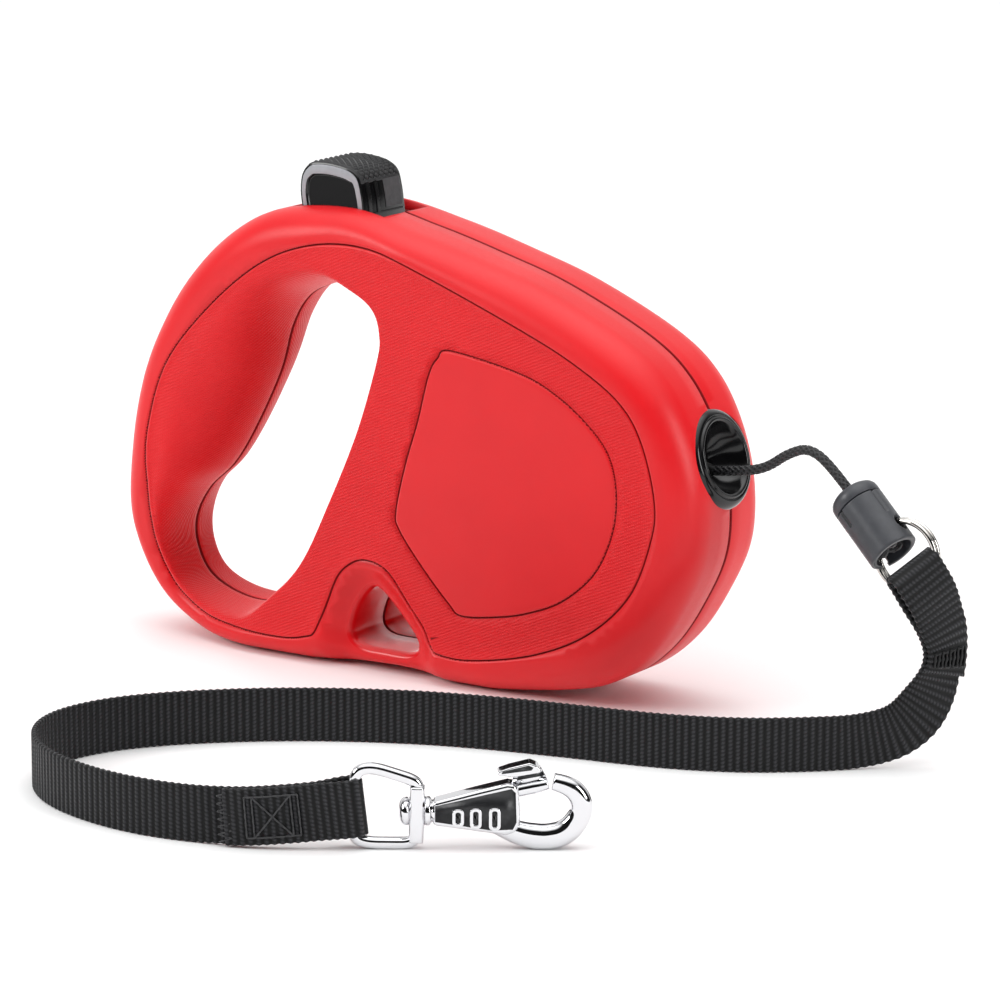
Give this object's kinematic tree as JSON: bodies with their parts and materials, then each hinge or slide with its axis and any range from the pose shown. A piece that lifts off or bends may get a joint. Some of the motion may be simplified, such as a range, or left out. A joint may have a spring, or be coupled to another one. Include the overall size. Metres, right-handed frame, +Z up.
{
  "type": "retractable leash",
  "caption": "Hand-held retractable dog leash: hollow two-shell casing with grip opening, spring reel, thumb brake, braided cord, webbing strap and swivel trigger hook.",
  "frame": {"origin": "centre of the casing's bounding box, at the surface that it stands on", "axes": "+X from the grip towards the cord outlet, +Y from the near shell to the far shell, +Z up"},
  "size_m": [0.2389, 0.173, 0.1255],
  "materials": {
    "casing_plastic": "satin",
    "gloss_black": "gloss",
    "soft_pad": "matte, diamond knurled",
    "reel_plastic": "moulded",
    "white_plastic": "moulded",
    "sleeve_plastic": "satin",
    "braided_cord": "braided",
    "webbing": "woven",
    "hook_chrome": "polished",
    "bright_wire": "polished",
    "spring_steel": "drawn",
    "fastener_steel": "zinc plated"
  },
  "bodies": {
    "casing": {"casing_near": "casing_plastic", "casing_far": "casing_plastic", "casing_screws": "fastener_steel", "cord_outlet_bush": "gloss_black", "reel_axle": "fastener_steel", "thrust_washer_near": "white_plastic", "thrust_washer_far": "white_plastic", "spring_cup": "reel_plastic", "reel_spring": "spring_steel", "brake_spring": "spring_steel", "inner_cord_run": "braided_cord", "free_cord": "braided_cord", "sleeve_cap": "sleeve_plastic", "stopper_sleeve": "sleeve_plastic", "cord_knot": "braided_cord", "split_ring": "bright_wire", "webbing_strap": "webbing", "strap_fold_at_ring": "webbing", "strap_fold_at_hook": "webbing", "swivel_eye": "hook_chrome"},
    "reel": {"reel_drum": "reel_plastic", "reel_cover": "reel_plastic", "wound_cord": "braided_cord"},
    "brake_slide": {"brake_carriage": "reel_plastic", "brake_pawl": "fastener_steel"},
    "brake_key": {"thumb_key": "gloss_black", "thumb_pad": "soft_pad"},
    "hook": {"hook_body": "hook_chrome", "swivel_rivet": "hook_chrome", "bolt_spring": "spring_steel"},
    "bolt": {"hook_bolt": "hook_chrome"}
  },
  "joints": [
    {"name": "reel_spin", "type": "hinge", "parent": "casing", "child": "reel", "pos_m": [0.032, 0, 0.052], "axis": [0, 1, 0], "range_deg": [0, 9360], "stiffness_Nm_per_rad": 0.0009, "springref_deg": -6302.54, "deforming": ["reel_spring"]},
    {"name": "brake_press", "type": "slide", "parent": "casing", "child": "brake_slide", "axis": [0, 0, -1], "range_m": [0, 0.004], "stiffness_N_per_m": 700, "springref_m": -0.002, "deforming": ["brake_spring"]},
    {"name": "brake_lock", "type": "slide", "parent": "brake_slide", "child": "brake_key", "axis": [1, 0, 0], "range_m": [0, 0.0035]},
    {"name": "hook_swivel", "type": "hinge", "parent": "casing", "child": "hook", "pos_m": [0.08074, -0.12775, 0.0084], "axis": [0.829, 0.5592, 0], "continuous": true},
    {"name": "bolt_slide", "type": "slide", "parent": "hook", "child": "bolt", "axis": [-0.8106, -0.5468, -0.2096], "range_m": [0, 0.0065], "stiffness_N_per_m": 300, "springref_m": -0.004, "deforming": ["bolt_spring"]}
  ]
}
